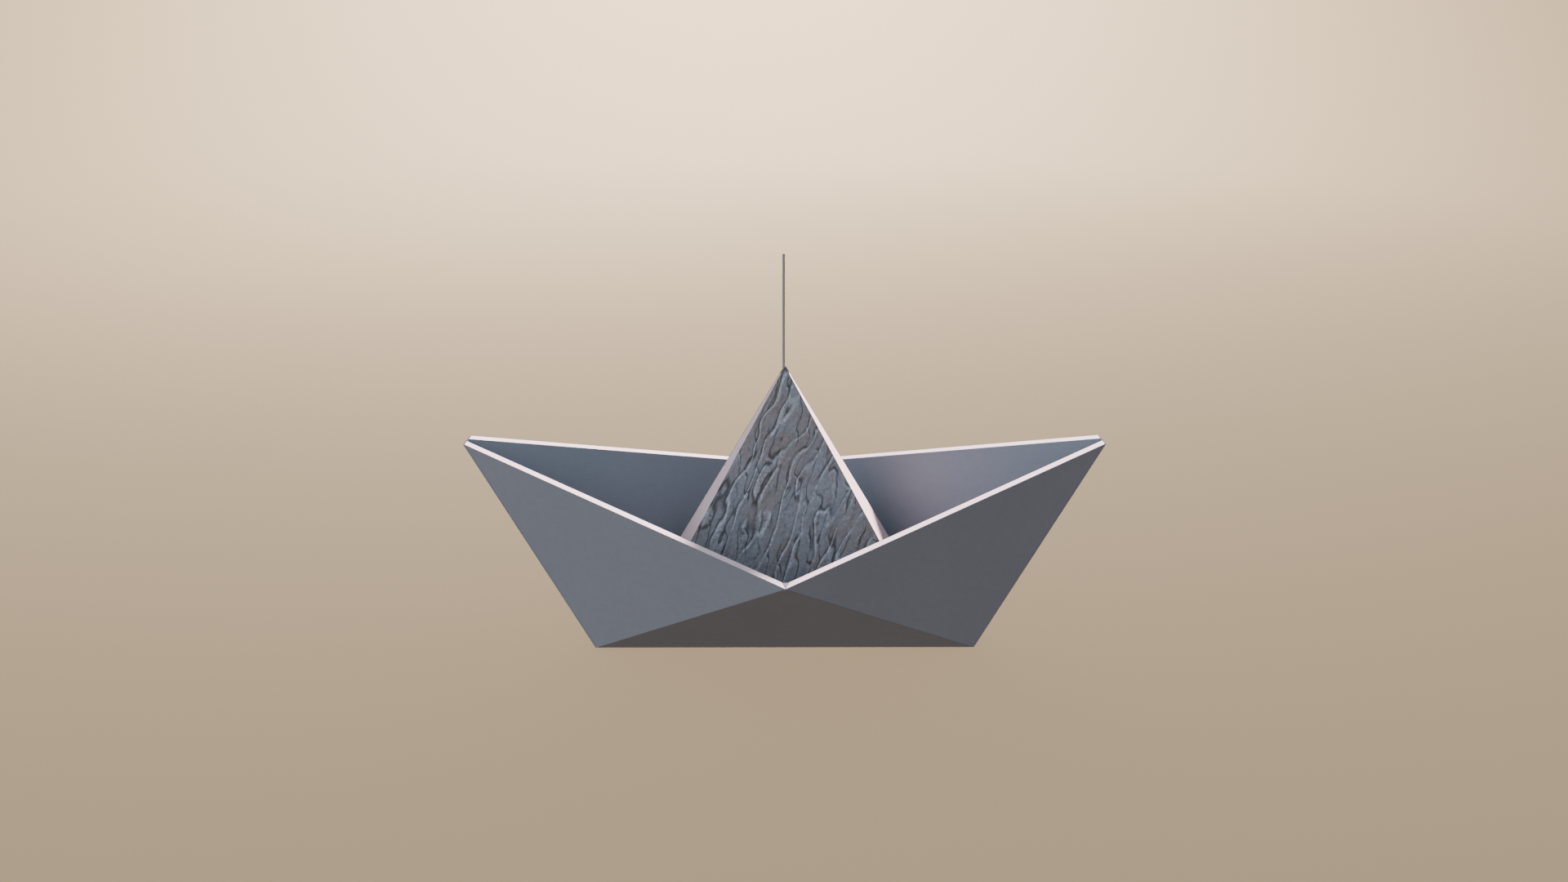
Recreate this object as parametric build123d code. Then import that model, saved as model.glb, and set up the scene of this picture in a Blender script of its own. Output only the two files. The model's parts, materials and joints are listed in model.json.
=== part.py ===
"""Paper boat with a mast and a tent sail, made of card-faced board.

The hull is one blank scored into a keel strip, two bottom panels and four side panels.
Each panel is a core between two papers. The outer paper runs over every crease and is the
hinge, and the board behind it is mitred, so that the boat folds flat about its keel.

Frame: +X runs along the boat to the right, +Y to the rear, +Z up. The origin is on the
underside of the keel strip, at the middle of its length and width. Millimetres.
"""
import os
from math import acos, atan2, cos, degrees, pi, sin

from build123d import *

# Board: core, papers and the clearances at its creases
core_thickness = 2.5
paper_thickness = 0.25
crease_room = 0.05          # from a mitred edge to the middle of its crease
stem_room = 0.8             # from the middle plane to a half's inner face, standing open
point_room = 0.8            # from the keel strip's points to the side panels, which turn there

# Hull, measured to the outer faces
keel_length = 128.0
vee_reach = 49.9            # from the middle plane to the lowest point of the rim
vee_height = 46.8
tip_reach = 101.2           # from the middle of the boat to each tip
tip_height = 73.7

# Tape that closes each stem
tape_margin = 0.3           # bare edge of the rear panel beside the tape
tape_room = 0.05

# Sail: two sheets of card that hang from the masthead, joined by a gusset at each end
card_thickness = 0.5
gusset_thickness = 0.3
sail_height = 97.8          # masthead above the ground
sail_foot_height = 26.0
sail_top_width = 2.0
sail_foot_width = 79.6
sail_foot_spread = 29.6     # between the inner faces of the two sheets at the foot
gusset_room = 0.05
gusset_drop = 1.0           # from the masthead down to each gusset's point
stack_room = 0.45           # from a sheet's outer face to the hull's inner face, folded flat

# Mast and its step
mast_diameter = 0.8
mast_offset = 0.4           # to the left of the middle of the boat
mast_top = 133.2
mast_room = 0.05            # from the mast to each sheet at the masthead
bore_room = 0.05
step_length = 10.0
step_height = 8.0
step_room = 0.2             # from the step to each half of the hull, folded flat
step_floor = 1.5            # solid wood under the mast's heel

# Worked out
board_thickness = core_thickness + 2 * paper_thickness
fold_room = mast_diameter / 2 + mast_room + card_thickness + stack_room
strip_half_width = board_thickness + fold_room
step_width = 2 * (fold_room - step_room)
keel_end = Vector(-keel_length / 2, -strip_half_width, 0)
vee = Vector(0, -vee_reach, vee_height)
inner_tip = Vector(-tip_reach, -stem_room, tip_height)
masthead = Vector(0, -(mast_diameter / 2 + mast_room), sail_height)
blank_size = 8 * tip_reach
across = Vector(0, 1, 0)
along = Vector(1, 0, 0)
up = Vector(0, 0, 1)

paper_layers = {
    "outer_paper": (0, paper_thickness),
    "core": (paper_thickness, board_thickness - paper_thickness),
    "inner_paper": (board_thickness - paper_thickness, board_thickness),
}


def turned(vector, axis, angle):
    """The vector turned about an axis by an angle in radians."""
    return vector.rotate(Axis((0, 0, 0), axis), degrees(angle))


def flip_x(vector):
    """The vector seen in the middle plane between the boat's ends."""
    return Vector(-vector.X, vector.Y, vector.Z)


def flip_y(vector):
    """The vector seen in the middle plane between the front and rear halves."""
    return Vector(vector.X, -vector.Y, vector.Z)


def layer(face_point, inward, depths, cuts):
    """One flat layer: a wide blank between two depths, trimmed by planes.

    Each cut is a point on the plane and the direction of the side that stays.
    """
    start, end = depths
    blank = Plane(origin=face_point + inward * start, z_dir=inward) * Rectangle(blank_size, blank_size)
    solid = extrude(blank, end - start)
    for point, keep_side in cuts:
        solid = split(solid, bisect_by=Plane(origin=point, z_dir=keep_side), keep=Keep.TOP)
    return solid


def mitre(on_crease, crease, halfway, keep_side):
    """A cut through a crease along the halfway direction, set back by the crease's room."""
    normal = crease.cross(halfway).normalized()
    if normal.dot(keep_side) < 0:
        normal = normal * -1
    return on_crease + normal * crease_room, normal


# Faces of the front half: the bottom panel, and the left side panel whose inner face ends
# at the stem's room from the middle plane
bottom_rise = atan2(vee_height, vee_reach - strip_half_width)
fold_angle = pi / 2 - bottom_rise
bottom_inward = Vector(0, sin(bottom_rise), cos(bottom_rise))
chine = (vee - keel_end).normalized()
to_tip = inner_tip - keel_end
tip_arm = to_tip - chine * to_tip.dot(chine)
side_turn = acos(board_thickness / tip_arm.length)
side_inward = turned(tip_arm.normalized(), chine, -side_turn)
outer_tip = inner_tip - across * (board_thickness / side_inward.Y)
stem = (outer_tip - keel_end).normalized()
rim = (vee - outer_tip).normalized()

# Faces of the sail: the front sheet's inner face and the left end's outer face
sail_drop = sail_height - sail_foot_height
sheet_lean = atan2(sail_foot_spread / 2 + masthead.Y, sail_drop)
sheet_inward = Vector(0, cos(sheet_lean), -sin(sheet_lean))
end_inward = Vector(sail_drop, 0, (sail_top_width - sail_foot_width) / 2).normalized()
sail_corner = Vector(-sail_top_width / 2, 0, sail_height)
sail_foot = Vector(0, 0, sail_foot_height)


def keel_strip_cuts():
    """Edges of the keel strip: mitred to meet the bottom panels when these stand upright.

    Its ends are pointed, to lie between the inner faces of the side panels.
    """
    long_edge = mitre(keel_end, along, across + up, across)
    end = (keel_end, along)
    point = (keel_end + side_inward * (board_thickness + point_room), side_inward)
    left_front = [long_edge, end, point]
    front = left_front + [(flip_x(place), flip_x(keep)) for place, keep in left_front]
    return front + [(flip_y(place), flip_y(keep)) for place, keep in front]


def bottom_cuts():
    """Edges of the front bottom panel: the keel crease, two chines and the point of the rim."""
    standing_mitre = across + up
    keel_mitre = turned(standing_mitre, along, fold_angle)
    cuts = [mitre(keel_end, along, keel_mitre, up)]
    point, normal = mitre(keel_end, chine, bottom_inward + side_inward, along)
    cuts.append((point, normal))
    cuts.append((flip_x(point), flip_x(normal)))
    cuts.append((vee, up * -1))
    return cuts


def side_cuts():
    """Edges of the front left side panel: the chine, the level-faced rim and the stem."""
    return [
        mitre(keel_end, chine, bottom_inward + side_inward, along * -1),
        (vee, across.cross(rim)),
        stem_face(),
    ]


def stem_face():
    """The blunt end of the left stem, square across the boat."""
    return keel_end, across.cross(stem).normalized()


def panel(name, face_point, inward, cuts):
    """The three layers of one panel, by node name."""
    return {f"{name}_{part}": layer(face_point, inward, depths, cuts)
            for part, depths in paper_layers.items()}


def stem_tape():
    """Paper tape over the blunt end of the left stem, from the front panel to the rear one."""
    heel, inboard = stem_face()
    front_limit = stem.cross(inboard).normalized()
    if front_limit.Y < 0:
        front_limit = front_limit * -1
    rear_limit = flip_y(front_limit)
    cuts = [(vee, across.cross(rim)), (Vector(0, 0, 0), up), (heel, front_limit),
            (flip_y(heel) + rear_limit * tape_margin, rear_limit)]
    return layer(heel - inboard * tape_room, inboard * -1, (0, paper_thickness), cuts)


def sail_sheet():
    """The front sheet of the sail, with its inner face just clear of the mast at the top."""
    cuts = [(masthead, up * -1), (sail_foot, up), (sail_corner, end_inward),
            (flip_x(sail_corner), flip_x(end_inward))]
    return layer(masthead - sheet_inward * card_thickness, sheet_inward, (0, card_thickness), cuts)


def sail_gusset():
    """The left gusset, flush with the ends of the two sheets and between their inner faces."""
    front_limit = masthead + sheet_inward * gusset_room
    cuts = [(masthead - up * gusset_drop, up * -1), (sail_foot, up), (front_limit, sheet_inward),
            (flip_y(front_limit), flip_y(sheet_inward))]
    return layer(sail_corner, end_inward, (0, gusset_thickness), cuts)


def mast():
    """A thin round mast, standing on the floor of its step."""
    heel = board_thickness + step_floor
    return Pos(-mast_offset, 0, heel) * Cylinder(
        mast_diameter / 2, mast_top - heel, align=(Align.CENTER, Align.CENTER, Align.MIN))


def mast_step():
    """A slim wooden block on the keel strip, bored for the mast."""
    on_floor = (Align.CENTER, Align.CENTER, Align.MIN)
    block = Pos(0, 0, board_thickness) * Box(step_length, step_width, step_height, align=on_floor)
    bore = Pos(-mast_offset, 0, board_thickness + step_floor) * Cylinder(
        mast_diameter / 2 + bore_room, step_height, align=on_floor)
    return block - bore


def mirrored(nodes, about, old, new):
    """Copies of nodes on the other side of the boat, with the side's word changed."""
    return {name.replace(old, new): mirror(solid, about=about) for name, solid in nodes.items()}


def build():
    """Every node of the boat, by name."""
    left_sides = panel("front_left_side", keel_end, side_inward, side_cuts())
    sides = {**left_sides, **mirrored(left_sides, Plane.YZ, "left", "right")}
    bottoms = panel("front_bottom", keel_end, bottom_inward, bottom_cuts())
    front_half = {**sides, **bottoms, "front_sail_sheet": sail_sheet()}
    ends = {"left_stem_tape": stem_tape(), "left_sail_gusset": sail_gusset()}
    return {
        **panel("keel_strip", Vector(0, 0, 0), up, keel_strip_cuts()),
        **front_half,
        **mirrored(front_half, Plane.XZ, "front", "rear"),
        **ends,
        **mirrored(ends, Plane.YZ, "left", "right"),
        "mast": mast(),
        "mast_step": mast_step(),
    }


os.makedirs("parts", exist_ok=True)
for node, shape in build().items():
    export_step(shape, f"parts/{node}.step")
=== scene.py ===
import json
import math

import bpy
from mathutils import Matrix, Vector


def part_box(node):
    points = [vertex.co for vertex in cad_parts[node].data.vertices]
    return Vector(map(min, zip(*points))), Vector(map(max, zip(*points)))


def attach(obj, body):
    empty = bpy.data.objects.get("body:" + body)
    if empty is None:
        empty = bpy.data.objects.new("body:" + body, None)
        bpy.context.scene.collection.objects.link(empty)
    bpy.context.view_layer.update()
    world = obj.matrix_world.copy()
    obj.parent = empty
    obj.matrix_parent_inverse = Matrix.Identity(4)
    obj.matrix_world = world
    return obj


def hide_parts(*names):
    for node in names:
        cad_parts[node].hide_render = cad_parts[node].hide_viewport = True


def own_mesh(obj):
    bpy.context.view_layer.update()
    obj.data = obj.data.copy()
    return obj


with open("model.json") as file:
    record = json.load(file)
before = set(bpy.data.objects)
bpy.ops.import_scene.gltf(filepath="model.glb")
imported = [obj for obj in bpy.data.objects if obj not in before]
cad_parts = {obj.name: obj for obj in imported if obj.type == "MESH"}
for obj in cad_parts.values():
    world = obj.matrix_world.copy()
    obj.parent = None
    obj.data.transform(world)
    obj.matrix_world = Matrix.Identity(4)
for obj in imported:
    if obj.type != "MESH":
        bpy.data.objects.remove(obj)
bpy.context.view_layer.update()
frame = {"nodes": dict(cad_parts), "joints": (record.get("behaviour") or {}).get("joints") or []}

MM = 0.001

# Viewpoint. The rise and the angle of view are assumed, and the rest is fitted to the boat's corners
VIEW_RISE = math.radians(20.5)
VIEW_TURN = math.radians(-0.181)
VIEW_DISTANCE = 340.4 * MM
VIEW_CENTRE = Vector((-0.283, 0, 73.27)) * MM
LENS_MM = 24.44
SENSOR_MM = 36.0

# Sail
CARD_THICKNESS = 0.25 * MM
RELIEF_LOW = -0.3 * MM          # from the card's outer face at its straight edges
RELIEF_HIGH = 0.34 * MM
EDGE_FADE = 1.2 * MM
SHEET_COLUMNS = 200
SHEET_ROWS = 228
GRAIN_LEAN = math.radians(22)   # the folds' run, from upright
SHEET_HALF_TOP = 0.3 * MM       # the sheets come nearly to a point at the masthead
GUSSET_THICKNESS = 0.2 * MM
GUSSET_DROP = 1.0 * MM          # below the CAD gusset's top, to pass beside the mast
GUSSET_FOLD = 0.45 * MM         # how far the middle crease stands in
GUSSET_REACH = 0.2 * MM         # past the CAD gusset, to meet the thinner sheets
GUSSET_COLUMNS = 24
GUSSET_ROWS = 60
GUSSET_CREASE_ROUND = 0.003     # rounds the middle crease

# Sail relief: where each sheet's noises start, and the noises by name. A noise has its pace
# across the folds' run and along it, in steps a millimetre, its start, detail and roughness.
FRONT_START = 3.37
REAR_START = 11.61
WANDER_PACE = (0.10, 0.035)
WANDER_DETAIL = 0.6
WANDER_REACH = 7                # millimetres
SAIL_NOISES = {
    "slab_wave": (0.14, 0.040, 0.0, 2, 0.5),
    "flake_wave": (0.22, 0.075, 7.31, 1.5, 0.5),
    "slab_hold": (0.12, 0.07, 31.7, 2, 0.5),
    "flake_hold": (0.15, 0.10, 43.9, 2, 0.5),
    "grit": (0.8, 0.5, 13.57, 1.5, 0.6),
    "patch": (0.11, 0.07, 21.13, 4, 0.65),
}
SLAB_TURN = 0.19                # turns a millimetre across the run
SLAB_SWAY = 3.2                 # turns that the wave adds
FLAKE_TURN = 0.25
FLAKE_SLANT = 0.05              # turns a millimetre along the run
FLAKE_SWAY = 2.8
SLAB_HOLD_RISE = (0.32, 0.56)
FLAKE_HOLD_RISE = (0.34, 0.56)
SLAB_LEAST = 0.25               # a slab's share where it holds least
SLAB_SHARE = 0.66               # shares of the relief
FLAKE_SHARE = 0.42
GRIT_SHARE = 0.60
RELIEF_BASE = 0.08

# Bands over one turn of a slab or flake, from 0 at its foot to 1 at its break
SLAB_DROP = (0.74, 1.0)
FLAKE_DROP = (0.72, 1.0)
SLAB_END = (0.85, 1.0)
FLAKE_END = (0.82, 1.0)
# Crest bands: where the sail's painted highlight lightens the crests.
SLAB_CREST = (0.76, 0.88)
FLAKE_CREST = (0.76, 0.87)
FLAKE_CREST_SHARE = 0.7
# Foot and under-break bands: where the sail's painted shade darkens the folds.
SLAB_FOOT = (0.0, 0.14)
FLAKE_FOOT = (0.0, 0.13)
UNDER_BREAK = (0.90, 1.0)

# Colours, as linear light
SLATE_OUTER = (0.300, 0.318, 0.372, 1)
# The inner paper is the outer slate paper made darker and a little bluer: painted shade inside the hull.
SLATE_INNER_SHADED = (0.255, 0.288, 0.340, 1)
# The cut core and the gusset paper are pale; their pink tint is painted warm light, the key light's
# colour on the lit edges.
CUT_BOARD = (0.86, 0.70, 0.76, 1)
GUSSET_PALE = (0.90, 0.69, 0.71, 1)
SAIL_BLUE = (0.295, 0.317, 0.360, 1)
SAIL_BROWN = (0.288, 0.270, 0.276, 1)
# Painted shade, dark in the sail's folds.
SAIL_PAINTED_SHADE = (0.070, 0.062, 0.058, 1)
# Painted highlight, pale on the sail's crests.
SAIL_PAINTED_HIGHLIGHT = (0.55, 0.61, 0.69, 1)
MAST_GREY = (0.42, 0.42, 0.41, 1)
WOOD_LIGHT = (0.56, 0.40, 0.24, 1)
WOOD_DARK = (0.38, 0.24, 0.13, 1)
FLOOR_BEIGE = (0.250, 0.195, 0.128, 1)
ROOM_ABOVE = (0.43, 0.46, 0.51, 1)
ROOM_BELOW = (0.20, 0.147, 0.092, 1)
ROOM_BLEND = (-0.40, 0.05)      # from below to above, as the height of the ray

# Floor and lights, in metres and watts
BOWL_FLAT = 1.6
BOWL_BEND = 1.6
BOWL_BEND_STEPS = 24
BOWL_SIDES = 96
BOAT_MIDDLE = (0, 0, 0.05)
KEY_PLACE = (0.475, 0.990, 0.645)
KEY_SIZE = 0.25
KEY_POWER = 13
EDGE_POWER = 103
KEY_COLOUR = (1.0, 0.80, 0.76)
FILL_PLACE = (-0.90, -0.60, 0.78)
FILL_SIZE = 0.80
FILL_POWER = 7.0
FILL_COLOUR = (0.86, 0.92, 1.0)
WASH_COLOUR = (1.0, 0.92, 0.82)
WASHES = (                      # name, place, aim, size, power
    ("wall_wash", (-0.1, 2.1, 1.45), (-0.1, 2.3, 0.2), 2.0, 350),
    ("floor_pool", (-0.30, 0.80, 0.65), (-0.2, 0.65, 0), 0.5, 8),
    ("near_wall_wash", (0, -1.5, 1.6), (0, -3.2, 0.9), 2.0, 190),
)


# ---------------------------------------------------------------- node writing

class Value:
    """A node's output socket that reads like a number in Python sums."""

    def __init__(self, recipe, socket):
        self.recipe = recipe
        self.socket = socket

    def apply(self, operation, *terms, first=None):
        """A Math node on this value and other terms."""
        values = {0: self if first is None else first}
        for place, term in enumerate(terms, start=1):
            values[place] = term
        return self.recipe.out("ShaderNodeMath", {"operation": operation}, values)

    def __add__(self, other):
        return self.apply("ADD", other)

    def __sub__(self, other):
        return self.apply("SUBTRACT", other)

    def __mul__(self, other):
        return self.apply("MULTIPLY", other)

    def __truediv__(self, other):
        return self.apply("DIVIDE", other)

    def __rsub__(self, other):
        return self.apply("SUBTRACT", self, first=other)

    __radd__ = __add__
    __rmul__ = __mul__

    def low_of(self, other):
        return self.apply("MINIMUM", other)

    def size(self):
        return self.apply("ABSOLUTE")

    def part(self):
        return self.apply("FRACT")

    def rise(self, low, high):
        """0 below low, 1 above high and smooth between them."""
        return self.recipe.out(
            "ShaderNodeMapRange", {"interpolation_type": "SMOOTHSTEP"},
            {"Value": self, "From Min": low, "From Max": high})


class Recipe:
    """Adds nodes to one node tree, for a finish or for a shape."""

    def __init__(self, tree):
        self.tree = tree

    def node(self, kind, settings=None, values=None):
        """One node: its settings first, then the numbers or links of its sockets."""
        made = self.tree.nodes.new(kind)
        for key, setting in (settings or {}).items():
            setattr(made, key, setting)
        for name, value in (values or {}).items():
            socket = made.inputs[name]
            if isinstance(value, Value):
                self.tree.links.new(value.socket, socket)
            else:
                socket.default_value = value
        return made

    def out(self, kind, settings=None, values=None, output=0):
        """One node's output."""
        return Value(self, self.node(kind, settings, values).outputs[output])

    def mixed(self, share, first, second):
        """A colour between two colours."""
        return self.out("ShaderNodeMix", {"data_type": "RGBA"}, {0: share, 6: first, 7: second}, output=2)

    def toned(self, colour, tone):
        """The colour made lighter or darker: a tone of 1 leaves it as it is."""
        first = colour if isinstance(colour, Value) else colour[:3]
        return self.out("ShaderNodeVectorMath", {"operation": "SCALE"}, {0: first, "Scale": tone})

    def noise(self, place, scale, detail=3.0, roughness=0.5, output=0):
        return self.out(
            "ShaderNodeTexNoise", {},
            {"Vector": place, "Scale": scale, "Detail": detail, "Roughness": roughness}, output)

    def triple(self, x, y, z):
        return self.out("ShaderNodeCombineXYZ", {}, {0: x, 1: y, 2: z})

    def scaled(self, place, scale):
        """Coordinates stretched by a different number each way."""
        return self.out("ShaderNodeVectorMath", {"operation": "MULTIPLY"}, {0: place, 1: scale})


class Finish(Recipe):
    """One material, ended by a Principled shader."""

    def __init__(self, name):
        self.material = bpy.data.materials.new(name)
        self.material.use_nodes = True
        self.material.node_tree.nodes.clear()
        super().__init__(self.material.node_tree)

    def place(self):
        return self.out("ShaderNodeTexCoord", output="Object")

    def end(self, colour, roughness, height, depth, strength, fixed):
        """The shader and output. height raises the surface by up to depth metres."""
        normal = self.out(
            "ShaderNodeBump", {}, {"Height": height, "Distance": depth, "Strength": strength})
        values = {"Base Color": colour, "Roughness": roughness, "Normal": normal}
        shader = self.out("ShaderNodeBsdfPrincipled", {}, {**values, **fixed})
        self.node("ShaderNodeOutputMaterial", {}, {"Surface": shader})
        return self.material


# ---------------------------------------------------------------- finishes

def faced_paper(name, colour):
    """Matt dyed paper glued on board: cloudy tone, short fibres both ways and pale flecks."""
    finish = Finish(name)
    place = finish.place()
    cloud = finish.noise(place, 38, detail=2)
    mottle = finish.noise(place, 420, detail=4, roughness=0.62)
    long_fibre = finish.noise(finish.scaled(place, (700, 4200, 4200)), 1, detail=2)
    cross_fibre = finish.noise(finish.scaled(place, (4200, 4200, 800)), 1, detail=2)
    fibre = (long_fibre + cross_fibre) * 0.5
    fleck = finish.noise(place, 1500, detail=1).rise(0.70, 0.80)
    tone = 1 + (cloud - 0.5) * 0.10 + (mottle - 0.5) * 0.13 + (fibre - 0.5) * 0.22 + fleck * 0.10
    roughness = 0.62 + (fibre - 0.5) * 0.25 + (cloud - 0.5) * 0.1
    return finish.end(finish.toned(colour, tone), roughness, fibre * 0.7 + mottle * 0.3,
                      0.03 * MM, 0.3, {"Specular IOR Level": 0.35})


def cut_board(name):
    """The pale core of the board where it was cut: fine plies and a few pulled fibres."""
    finish = Finish(name)
    place = finish.place()
    plies = finish.noise(finish.scaled(place, (60, 5200, 900)), 1, roughness=0.6)
    lint = finish.noise(place, 2600, roughness=0.7)
    cloud = finish.noise(place, 60, detail=2)
    tone = 1 + (plies - 0.5) * 0.10 + (lint - 0.5) * 0.10 + (cloud - 0.5) * 0.05
    return finish.end(finish.toned(CUT_BOARD, tone), 0.78 + (lint - 0.5) * 0.2,
                      plies * 0.5 + lint * 0.5, 0.04 * MM, 0.4, {"Specular IOR Level": 0.25})


def gusset_paper(name):
    """Thin pale paper: soft cloudiness, a fine wove grain and slight wrinkles."""
    finish = Finish(name)
    place = finish.place()
    cloud = finish.noise(place, 130)
    grain = finish.noise(place, 3600, roughness=0.65)
    wrinkle = finish.noise(finish.scaled(place, (500, 160, 120)), 1, detail=2)
    tone = 1 + (cloud - 0.5) * 0.06 + (grain - 0.5) * 0.08
    return finish.end(finish.toned(GUSSET_PALE, tone), 0.72 + (grain - 0.5) * 0.2,
                      grain * 0.3 + wrinkle * 0.7, 0.06 * MM, 0.4, {"Specular IOR Level": 0.3})


def crumpled_card(name):
    """Crumpled slate card: blue on the high ground, brown in patches, with painted shade dark in the
    folds and painted highlights pale on the crests.
    """
    finish = Finish(name)
    place = finish.place()
    slab_turn, flake_turn, slab_hold, flake_hold, patch = (
        finish.out("ShaderNodeAttribute", {"attribute_name": mark}, output="Fac")
        for mark in ("slab_turn", "flake_turn", "slab_hold", "flake_hold", "patch"))
    slab, flake = slab_turn.part(), flake_turn.part()
    broken = (1 - slab.rise(*SLAB_END)) * (slab_hold * (1 - SLAB_LEAST) + SLAB_LEAST)
    chipped = (1 - flake.rise(*FLAKE_END)) * flake_hold
    crest = slab.rise(*SLAB_CREST) * broken + flake.rise(*FLAKE_CREST) * chipped * FLAKE_CREST_SHARE
    under_slab = 1 - slab.rise(*SLAB_FOOT) + slab.rise(*UNDER_BREAK)
    under_flake = 1 - flake.rise(*FLAKE_FOOT) + flake.rise(*UNDER_BREAK)
    cleft = under_slab * slab_hold + under_flake * flake_hold
    mottle = finish.noise(place, 900, detail=4, roughness=0.7)
    grain = finish.noise(place, 4200, roughness=0.7)
    brown = (patch + (mottle - 0.5) * 0.35).rise(0.40, 0.62)
    ground = finish.mixed(brown, SAIL_BLUE, SAIL_BROWN)
    # Painted shade: the colour darkens in the clefts at the foot and the break of each slab and flake.
    fold_painted_shade = finish.mixed(cleft.low_of(1.0) * 0.85, ground, SAIL_PAINTED_SHADE)
    # Painted highlight: the crests are lightened where the mottle allows; the same mask makes them a
    # little smoother.
    crest_painted_highlight = crest * mottle.rise(0.25, 0.62)
    colour = finish.mixed(crest_painted_highlight.low_of(1.0) * 0.75, fold_painted_shade, SAIL_PAINTED_HIGHLIGHT)
    tone = 1 + (grain - 0.5) * 0.9 + (mottle - 0.5) * 1.1
    roughness = 0.62 + (mottle - 0.5) * 0.25 - crest_painted_highlight * 0.1
    return finish.end(finish.toned(colour, tone), roughness, grain * 0.3 + mottle * 0.7,
                      0.45 * MM, 1.0, {"Specular IOR Level": 0.35})


def mast_metal(name):
    """Drawn wire, dulled: long fine streaks along the mast."""
    finish = Finish(name)
    place = finish.place()
    streak = finish.noise(finish.scaled(place, (9000, 9000, 90)), 1)
    spot = finish.noise(place, 1400, detail=2)
    tone = 1 + (streak - 0.5) * 0.35 + (spot - 0.5) * 0.15
    return finish.end(finish.toned(MAST_GREY, tone), 0.45 + (streak - 0.5) * 0.25,
                      streak, 0.01 * MM, 0.4, {"Metallic": 0.35})


def step_wood(name):
    """Bare light wood with its grain along the boat."""
    finish = Finish(name)
    place = finish.place()
    ring = finish.noise(finish.scaled(place, (90, 1500, 1100)), 1)
    pore = finish.noise(finish.scaled(place, (600, 9000, 9000)), 1, detail=2)
    colour = finish.mixed(ring.rise(0.35, 0.65), WOOD_LIGHT, WOOD_DARK)
    return finish.end(finish.toned(colour, 1 + (pore - 0.5) * 0.3), 0.6 + (pore - 0.5) * 0.2,
                      pore, 0.03 * MM, 0.5, {})


def floor_paper(name):
    """Plain matt floor."""
    finish = Finish(name)
    cloud = finish.noise(finish.place(), 6, detail=1)
    return finish.end(finish.toned(FLOOR_BEIGE, 1 + (cloud - 0.5) * 0.02), 0.9,
                      cloud, 0.01 * MM, 0.1, {"Specular IOR Level": 0.1})


finishes = {
    "outer_paper": faced_paper("outer_paper_slate", SLATE_OUTER),
    "inner_paper": faced_paper("inner_paper_slate", SLATE_INNER_SHADED),
    "board_core": cut_board("cut_board_pale"),
    "sail_card": crumpled_card("crumpled_card_slate"),
    "gusset_paper": gusset_paper("gusset_paper_pale"),
    "mast_wire": mast_metal("mast_wire_grey"),
    "step_wood": step_wood("step_wood_bare"),
}
for cad_node in frame["nodes"].values():
    for holder in cad_node.material_slots:
        holder.material = finishes[holder.material.name.split(".")[0]]


# ---------------------------------------------------------------- making pieces

def baked(name, holder):
    """The holder's evaluated mesh as a plain piece with no modifiers."""
    depsgraph = bpy.context.evaluated_depsgraph_get()
    mesh = bpy.data.meshes.new_from_object(holder.evaluated_get(depsgraph), depsgraph=depsgraph)
    holder.modifiers.clear()
    bpy.data.objects.remove(holder)
    mesh.name = name
    piece = bpy.data.objects.new(name, mesh)
    bpy.context.scene.collection.objects.link(piece)
    return piece


def holder_object(name):
    """An empty mesh object to build a piece on."""
    holder = bpy.data.objects.new(name, bpy.data.meshes.new(name))
    bpy.context.scene.collection.objects.link(holder)
    return holder


def thicken(holder, thickness):
    """A wall grown inward from the holder's outer face."""
    wall = holder.modifiers.new("wall", "SOLIDIFY")
    wall.thickness = thickness
    wall.offset = -1


def smooth(piece):
    piece.data.polygons.foreach_set("use_smooth", [True] * len(piece.data.polygons))


# ---------------------------------------------------------------- sail sheets

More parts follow.
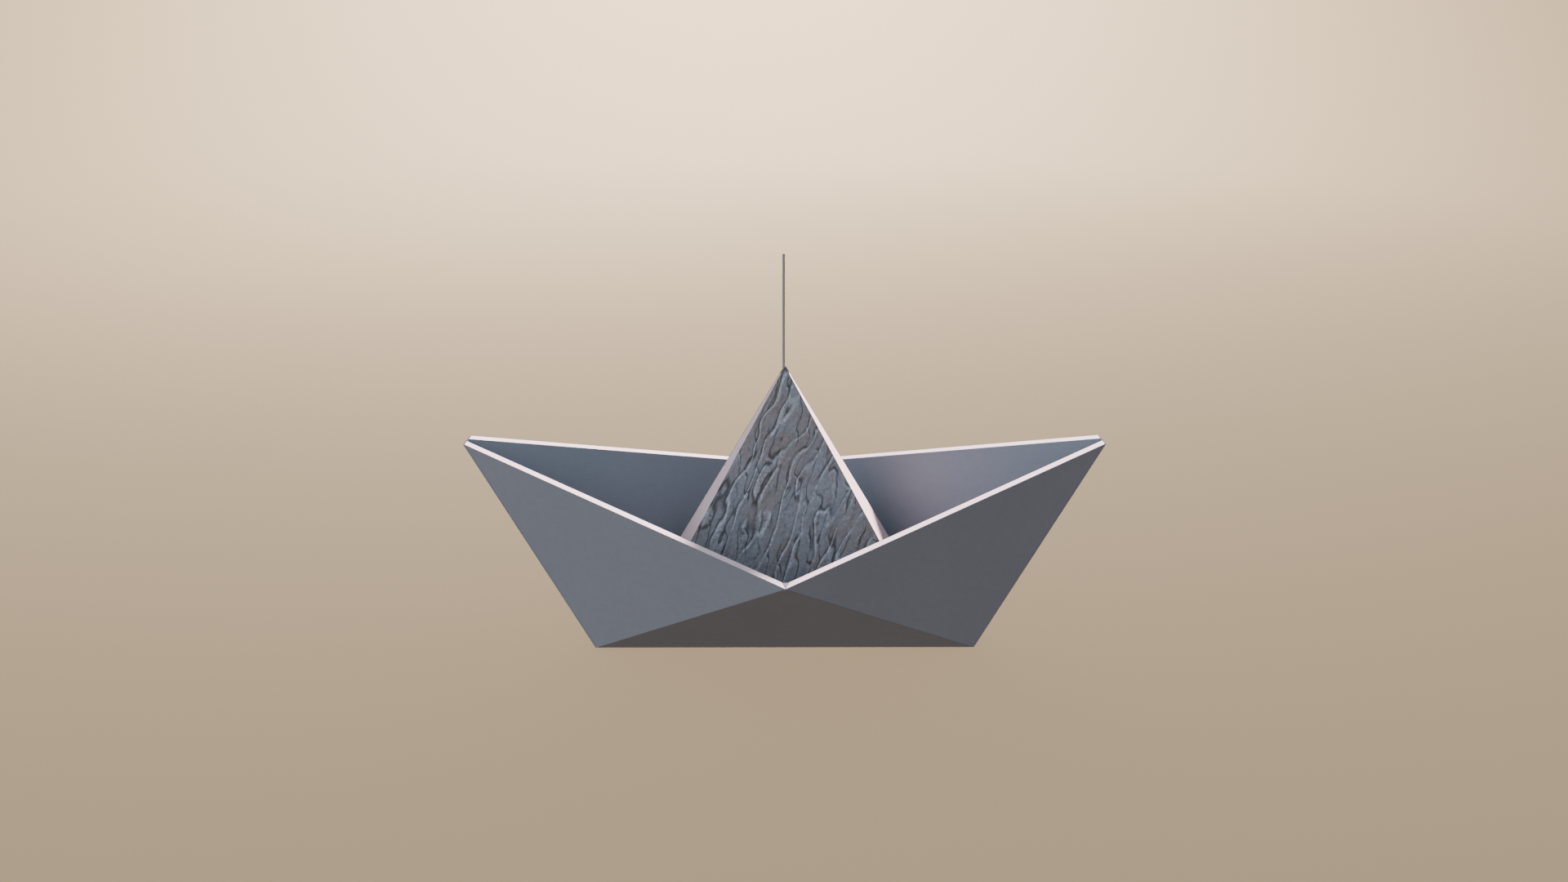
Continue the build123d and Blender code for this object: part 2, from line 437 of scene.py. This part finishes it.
def crumpled_sheet_tree(finish):
    """Geometry Nodes: a sheet that hangs from its top edge, +Y outwards, with a cleft relief."""
    tree = bpy.data.node_groups.new("crumpled_sheet", "GeometryNodeTree")
    sizes = ("Half top", "Half foot", "Length", "Relief low", "Relief high", "Edge fade", "Seed")
    for size in sizes:
        tree.interface.new_socket(size, in_out="INPUT", socket_type="NodeSocketFloat")
    tree.interface.new_socket("Geometry", in_out="OUTPUT", socket_type="NodeSocketGeometry")
    shape = Recipe(tree)
    given = shape.node("NodeGroupInput")
    half_top, half_foot, length, low, high, fade, seed = (Value(shape, given.outputs[s]) for s in sizes)

    grid = shape.out("GeometryNodeMeshGrid", {}, {
        "Size X": 1.0, "Size Y": 1.0, "Vertices X": SHEET_COLUMNS, "Vertices Y": SHEET_ROWS})
    corner = shape.node("ShaderNodeSeparateXYZ", {}, {0: shape.out("GeometryNodeInputPosition")})
    share = Value(shape, corner.outputs["X"]) * 2
    fall = 0.5 - Value(shape, corner.outputs["Y"])
    half_width = half_top + (half_foot - half_top) * fall
    across = share * half_width
    up = fall * length * -1

    # The folds run up and to one side; their line wanders with a slow noise
    lean_sin, lean_cos = math.sin(GRAIN_LEAN), math.cos(GRAIN_LEAN)
    over = (across * lean_cos + up * lean_sin) / MM
    run = (up * lean_cos - across * lean_sin) / MM
    wander = shape.node("ShaderNodeTexNoise", {}, {
        "Vector": shape.triple(over * WANDER_PACE[0], run * WANDER_PACE[1], seed),
        "Scale": 1.0, "Detail": WANDER_DETAIL})
    drift = shape.node("ShaderNodeSeparateXYZ", {}, {0: Value(shape, wander.outputs["Color"])})
    over_bent = over + (Value(shape, drift.outputs["X"]) - 0.5) * WANDER_REACH
    run_bent = run + (Value(shape, drift.outputs["Y"]) - 0.5) * WANDER_REACH

    def sail_noise(name, first, second):
        """One of the sail's noises, over distances across and along the folds' run."""
        pace_over, pace_run, start, detail, roughness = SAIL_NOISES[name]
        place = shape.triple(first * pace_over, second * pace_run, seed + start)
        return shape.noise(place, 1, detail, roughness)

    # Slabs and flakes overlap like leaves: each rises slowly across the folds' run and breaks
    # off at a sharp edge. The slabs break to one side, the flakes to the other.
    slab_turn = over_bent * SLAB_TURN + sail_noise("slab_wave", over_bent, run_bent) * SLAB_SWAY
    flake_wave = sail_noise("flake_wave", over_bent, run_bent)
    flake_turn = flake_wave * FLAKE_SWAY - over * FLAKE_TURN + run * FLAKE_SLANT
    slab_hold = sail_noise("slab_hold", over, run).rise(*SLAB_HOLD_RISE)
    flake_hold = sail_noise("flake_hold", over, run).rise(*FLAKE_HOLD_RISE)
    slab, flake = slab_turn.part(), flake_turn.part()
    broken = (1 - slab.rise(*SLAB_DROP)) * (slab_hold * (1 - SLAB_LEAST) + SLAB_LEAST)
    chipped = (1 - flake.rise(*FLAKE_DROP)) * flake_hold
    grit = sail_noise("grit", over, run)
    shaped = slab * broken * SLAB_SHARE + flake * chipped * FLAKE_SHARE
    level = shape.out("ShaderNodeClamp", {}, {
        "Value": shaped + (grit - 0.5) * GRIT_SHARE + RELIEF_BASE})

    edge = (half_width - across.size()).rise(0.0, fade)
    bulge = (low + (high - low) * level) * edge
    patch = sail_noise("patch", over_bent, run_bent)

    # The marks are stored while the points still lie in the flat grid that the sums read
    marked = grid
    marks = {"slab_turn": slab_turn, "flake_turn": flake_turn, "slab_hold": slab_hold,
             "flake_hold": flake_hold, "patch": patch}
    for mark, amount in marks.items():
        marked = shape.out("GeometryNodeStoreNamedAttribute", {"data_type": "FLOAT", "domain": "POINT"},
                           {"Geometry": marked, "Name": mark, "Value": amount})
    placed = shape.out("GeometryNodeSetPosition", {}, {
        "Geometry": marked, "Position": shape.triple(across, bulge, up)})
    outside = shape.out("GeometryNodeFlipFaces", {}, {"Mesh": placed})
    real = shape.out("GeometryNodeRealizeInstances", {}, {"Geometry": outside})
    done = shape.out("GeometryNodeSetMaterial", {}, {"Geometry": real, "Material": finish})
    shape.node("NodeGroupOutput", {}, {"Geometry": done})
    return tree


def set_sizes(modifier, sizes):
    """The modifier's named inputs, set by their sockets' identifiers."""
    for item in modifier.node_group.interface.items_tree:
        if item.in_out == "INPUT":
            modifier[item.identifier] = sizes[item.name]


def sail_sheet(side_word, side, seed, tree):
    """One crumpled sheet in the place of its plain CAD sheet."""
    node = f"{side_word}_sail_sheet"
    fold = next(j for j in frame["joints"] if j["name"] == f"{side_word}_sail_fold")
    head = Vector(fold["pos_m"])
    lean = math.radians(fold["range_deg"][1])
    outward = Vector((0, side * math.cos(lean), math.sin(lean)))
    up_slope = Vector((0, -side * math.sin(lean), math.cos(lean)))
    low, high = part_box(node)
    corners = [v.co for v in frame["nodes"][node].data.vertices]
    card = max((corner - head).dot(outward) for corner in corners)

    holder = holder_object(node + "_holder")
    shaping = holder.modifiers.new("crumple", "NODES")
    shaping.node_group = tree
    set_sizes(shaping, {
        "Half top": SHEET_HALF_TOP, "Half foot": high.x, "Length": (high.z - low.z) / math.cos(lean),
        "Relief low": RELIEF_LOW, "Relief high": RELIEF_HIGH, "Edge fade": EDGE_FADE, "Seed": seed})
    thicken(holder, CARD_THICKNESS)
    sheet = baked(f"{side_word}_crumpled_sheet", holder)
    axes = Matrix((Vector((side, 0, 0)), outward, up_slope)).transposed()
    start = head + outward * card
    sheet.data.transform(Matrix.Translation(start) @ axes.to_4x4())
    smooth(sheet)
    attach(sheet, f"{side_word}_sail")
    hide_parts(node)


sheet_tree = crumpled_sheet_tree(finishes["sail_card"])
sail_sheet("front", -1, FRONT_START, sheet_tree)
sail_sheet("rear", 1, REAR_START, sheet_tree)


# ---------------------------------------------------------------- gussets

def gusset(side_word, side):
    """One pale gusset with a soft crease down its middle, between the two sheets."""
    node = f"{side_word}_sail_gusset"
    low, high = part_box(node)
    sheet_low, sheet_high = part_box("front_sail_sheet")
    corners = [v.co for v in frame["nodes"][node].data.vertices]
    peak_half = max(corner.y for corner in corners if corner.z > high.z - MM)
    foot = Vector((side * sheet_high.x, high.y, low.z))
    fall_slope = (sheet_high.x - SHEET_HALF_TOP) / (sheet_high.z - sheet_low.z)
    top_z = high.z - GUSSET_DROP
    top_x = side * (SHEET_HALF_TOP + fall_slope * (sheet_high.z - top_z))
    spread_slope = (foot.y - peak_half) / (high.z - foot.z)
    top = Vector((top_x, peak_half + spread_slope * GUSSET_DROP, top_z))
    inward = Vector((-side * (top.z - foot.z), 0, -abs(foot.x - top.x))).normalized()
    points, faces = [], []
    for row in range(GUSSET_ROWS + 1):
        fall = row / GUSSET_ROWS
        middle = Vector((top.x + (foot.x - top.x) * fall, 0, top.z + (foot.z - top.z) * fall))
        half = top.y + (foot.y - top.y) * fall + GUSSET_REACH * fall
        for column in range(GUSSET_COLUMNS + 1):
            share = column / GUSSET_COLUMNS * 2 - 1
            crease = GUSSET_FOLD * fall * (1 - math.sqrt(share * share + GUSSET_CREASE_ROUND))
            points.append(middle + Vector((0, share * half, 0)) + inward * max(crease, 0))
    wide = GUSSET_COLUMNS + 1
    for row in range(GUSSET_ROWS):
        for column in range(GUSSET_COLUMNS):
            first = row * wide + column
            face = (first, first + 1, first + wide + 1, first + wide)
            faces.append(face if side < 0 else face[::-1])
    holder = holder_object(node + "_holder")
    holder.data.from_pydata(points, [], faces)
    holder.data.materials.append(finishes["gusset_paper"])
    thicken(holder, GUSSET_THICKNESS)
    piece = baked(f"{side_word}_creased_gusset", holder)
    smooth(piece)
    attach(piece, "keel")
    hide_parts(node)
    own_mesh(piece)
    return piece


gussets = [gusset("left", -1), gusset("right", 1)]


# ---------------------------------------------------------------- floor, light and view

def studio_bowl():
    """A round floor that curves up into a wall all round. Bounced light passes it by."""
    profile = [(0.0, 0.0)]
    for step in range(BOWL_BEND_STEPS + 1):
        angle = math.pi / 2 * step / BOWL_BEND_STEPS
        profile.append((BOWL_FLAT + BOWL_BEND * math.sin(angle), BOWL_BEND * (1 - math.cos(angle))))
    profile.append((BOWL_FLAT + BOWL_BEND, 2 * BOWL_BEND))
    edges = [(step, step + 1) for step in range(len(profile) - 1)]
    mesh = bpy.data.meshes.new("studio_bowl")
    mesh.from_pydata([Vector((reach, 0, rise)) for reach, rise in profile], edges, [])
    bowl = bpy.data.objects.new("studio_bowl", mesh)
    bpy.context.scene.collection.objects.link(bowl)
    spin = bowl.modifiers.new("round", "SCREW")
    spin.steps = spin.render_steps = BOWL_SIDES
    spin.use_merge_vertices = True
    spin.use_smooth_shade = True
    mesh.materials.append(floor_paper("floor_plain"))
    bowl.visible_diffuse = bowl.visible_glossy = bowl.visible_shadow = False
    return bowl


def soft_light(name, place, aim, size, power, colour):
    """A square soft light."""
    lamp = bpy.data.lights.new(name, "AREA")
    lamp.size = size
    lamp.energy = power
    lamp.color = colour
    made = bpy.data.objects.new(name, lamp)
    made.location = place
    made.rotation_euler = (Vector(aim) - Vector(place)).to_track_quat("-Z", "Y").to_euler()
    bpy.context.scene.collection.objects.link(made)
    return made


def shine_on(light, pieces, lit):
    """The light reaches only these pieces, or with lit False everything else."""
    group = bpy.data.collections.new(light.name + "_group")
    for piece in pieces:
        group.objects.link(piece)
    for member in group.collection_objects:
        member.light_linking.link_state = "INCLUDE" if lit else "EXCLUDE"
    light.light_linking.receiver_collection = group


def ambient():
    """Even room light: cool from above, dim and warm from below."""
    world = bpy.data.worlds.new("soft_room")
    world.use_nodes = True
    world.node_tree.nodes.clear()
    room = Recipe(world.node_tree)
    ray = room.node("ShaderNodeSeparateXYZ", {}, {0: room.out("ShaderNodeTexCoord", output="Generated")})
    colour = room.mixed(Value(room, ray.outputs["Z"]).rise(*ROOM_BLEND), ROOM_BELOW, ROOM_ABOVE)
    glow = room.out("ShaderNodeBackground", {}, {"Color": colour, "Strength": 1.0})
    room.node("ShaderNodeOutputWorld", {}, {"Surface": glow})
    bpy.context.scene.world = world


def viewpoint():
    """The camera, aimed at the view's centre."""
    camera = bpy.data.cameras.new("view")
    camera.sensor_width = SENSOR_MM
    camera.lens = LENS_MM
    camera.clip_start = 1 * MM
    made = bpy.data.objects.new("view", camera)
    ahead = Vector((-math.sin(VIEW_TURN), math.cos(VIEW_TURN), 0))
    back_off = ahead * -math.cos(VIEW_RISE) + Vector((0, 0, math.sin(VIEW_RISE)))
    made.location = VIEW_CENTRE + back_off * VIEW_DISTANCE
    made.rotation_euler = (-back_off).to_track_quat("-Z", "Y").to_euler()
    bpy.context.scene.collection.objects.link(made)
    bpy.context.scene.camera = made


bowl = studio_bowl()
rim_pieces = [piece for name, piece in frame["nodes"].items() if name.endswith("side_core")]
key = soft_light("key_warm", KEY_PLACE, BOAT_MIDDLE, KEY_SIZE, KEY_POWER, KEY_COLOUR)
edge = soft_light("edge_light", KEY_PLACE, BOAT_MIDDLE, KEY_SIZE, EDGE_POWER, KEY_COLOUR)
fill = soft_light("fill_cool", FILL_PLACE, BOAT_MIDDLE, FILL_SIZE, FILL_POWER, FILL_COLOUR)
shine_on(key, [bowl], False)
shine_on(edge, rim_pieces + gussets, True)
shine_on(fill, [bowl], False)
for name, place, aim, size, power in WASHES:
    wash = soft_light(name, place, aim, size, power, WASH_COLOUR)
    wash.data.use_shadow = False
    shine_on(wash, [bowl], True)
ambient()
viewpoint()
